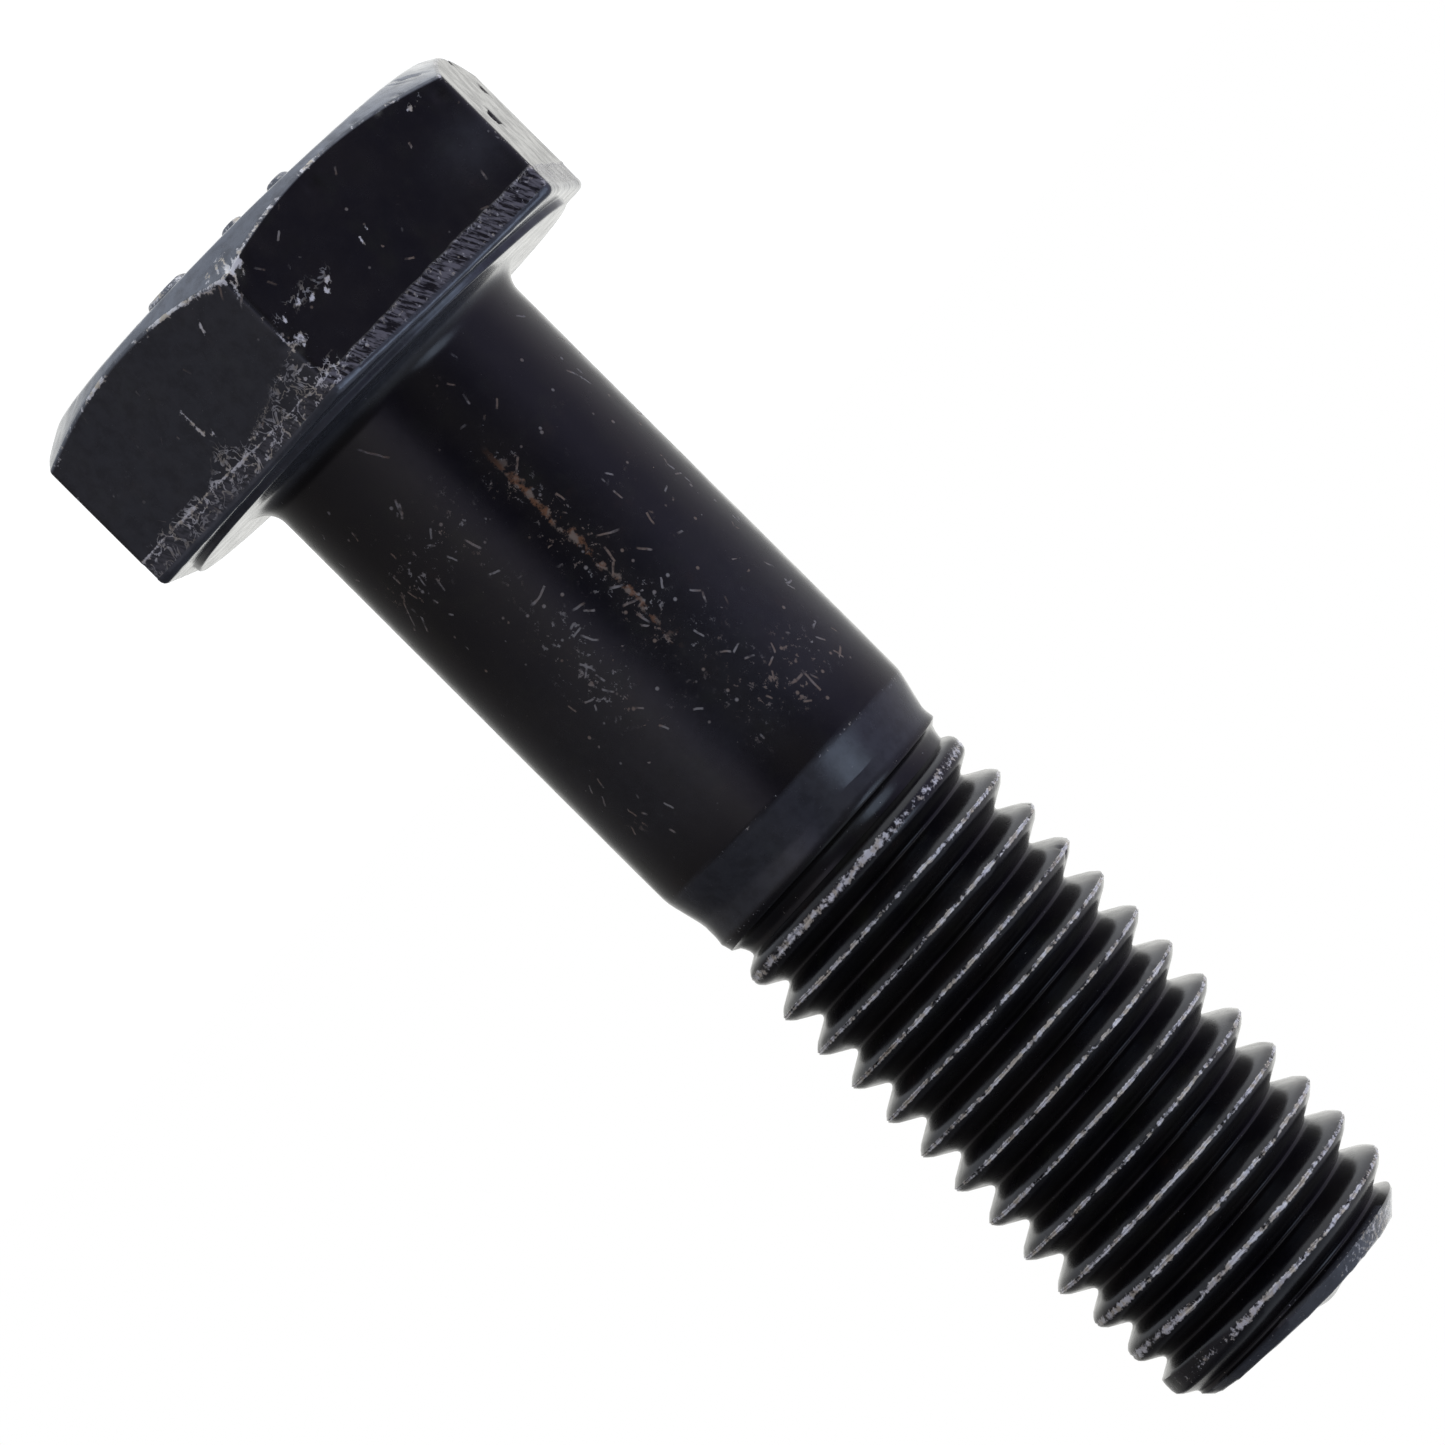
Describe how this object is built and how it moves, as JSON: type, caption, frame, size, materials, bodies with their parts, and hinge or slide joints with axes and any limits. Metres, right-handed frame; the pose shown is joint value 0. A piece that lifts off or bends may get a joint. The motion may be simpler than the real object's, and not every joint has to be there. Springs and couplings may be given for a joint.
{
  "type": "hex bolt",
  "caption": "Black heavy hex bolt with a plain shank, washer face and coarse right-hand rolled thread, for bolting plates together.",
  "frame": {"origin": "centre of the bearing face under the head, on the bolt's axis", "axes": "+Z along the bolt's axis from the head to the tip; two corners of the hexagon lie on the X axis"},
  "size_m": [0.0302, 0.0262, 0.0717],
  "materials": {
    "black_steel": "plain black heat-treated and oiled steel, semi-matt, with worn bright edges"
  },
  "bodies": {
    "root": {"bolt": "black_steel"}
  },
  "joints": []
}
